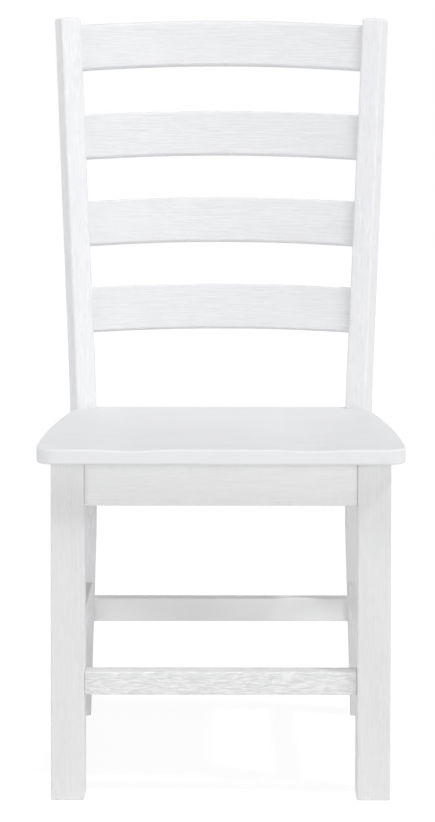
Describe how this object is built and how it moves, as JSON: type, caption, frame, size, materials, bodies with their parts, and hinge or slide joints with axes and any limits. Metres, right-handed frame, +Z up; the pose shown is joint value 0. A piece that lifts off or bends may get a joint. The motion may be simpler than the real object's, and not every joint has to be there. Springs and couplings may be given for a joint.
{
  "type": "dining side chair",
  "caption": "Dining side chair with a tall raked ladder back of bowed slats, a carved wooden seat and square legs tied by stretchers, all in white brushed wood.",
  "frame": {"origin": "on the floor, under the middle of the chair's box", "axes": "+Z up from the floor, -Y towards the chair's front, -X towards the left of someone who faces the chair"},
  "size_m": [0.5028, 0.5802, 1.04],
  "materials": {
    "seat_paint": "white paint over glued boards, satin",
    "leg_paint": "white paint over brushed grain, matt",
    "post_paint": "white paint over brushed grain, matt",
    "slat_paint": "white paint over brushed grain, matt",
    "apron_paint": "white paint over brushed grain, matt",
    "stretcher_paint": "white paint over coarse brushed grain, matt",
    "block_wood": "bare sawn hardwood",
    "dowel_beech": "bare turned beech",
    "screw_steel": "zinc plated"
  },
  "bodies": {
    "root": {"seat": "seat_paint", "front_leg_left": "leg_paint", "front_leg_right": "leg_paint", "back_post_left": "post_paint", "back_post_right": "post_paint", "crest_slat": "slat_paint", "upper_slat": "slat_paint", "middle_slat": "slat_paint", "lower_slat": "slat_paint", "front_apron": "apron_paint", "back_apron": "apron_paint", "side_apron_left": "apron_paint", "side_apron_right": "apron_paint", "front_stretcher": "stretcher_paint", "back_stretcher": "stretcher_paint", "side_stretcher_left": "stretcher_paint", "side_stretcher_right": "stretcher_paint", "corner_block_front_left": "block_wood", "corner_block_front_right": "block_wood", "corner_block_back_left": "block_wood", "corner_block_back_right": "block_wood", "screw_corner_block_front_left_a": "screw_steel", "screw_corner_block_front_left_b": "screw_steel", "screw_corner_block_front_right_a": "screw_steel", "screw_corner_block_front_right_b": "screw_steel", "screw_corner_block_back_left_a": "screw_steel", "screw_corner_block_back_left_b": "screw_steel", "screw_corner_block_back_right_a": "screw_steel", "screw_corner_block_back_right_b": "screw_steel", "seat_screw_corner_block_front_left": "screw_steel", "seat_screw_corner_block_front_right": "screw_steel", "seat_screw_corner_block_back_left": "screw_steel", "seat_screw_corner_block_back_right": "screw_steel", "dowel_front_apron_front_leg_left_lower": "dowel_beech", "dowel_front_apron_front_leg_left_upper": "dowel_beech", "dowel_front_apron_front_leg_right_lower": "dowel_beech", "dowel_front_apron_front_leg_right_upper": "dowel_beech", "dowel_back_apron_back_post_left_lower": "dowel_beech", "dowel_back_apron_back_post_left_upper": "dowel_beech", "dowel_back_apron_back_post_right_lower": "dowel_beech", "dowel_back_apron_back_post_right_upper": "dowel_beech", "dowel_side_apron_left_front_leg_left_lower": "dowel_beech", "dowel_side_apron_left_front_leg_left_upper": "dowel_beech", "dowel_side_apron_left_back_post_left_lower": "dowel_beech", "dowel_side_apron_left_back_post_left_upper": "dowel_beech", "dowel_side_apron_right_front_leg_right_lower": "dowel_beech", "dowel_side_apron_right_front_leg_right_upper": "dowel_beech", "dowel_side_apron_right_back_post_right_lower": "dowel_beech", "dowel_side_apron_right_back_post_right_upper": "dowel_beech"}
  },
  "joints": []
}
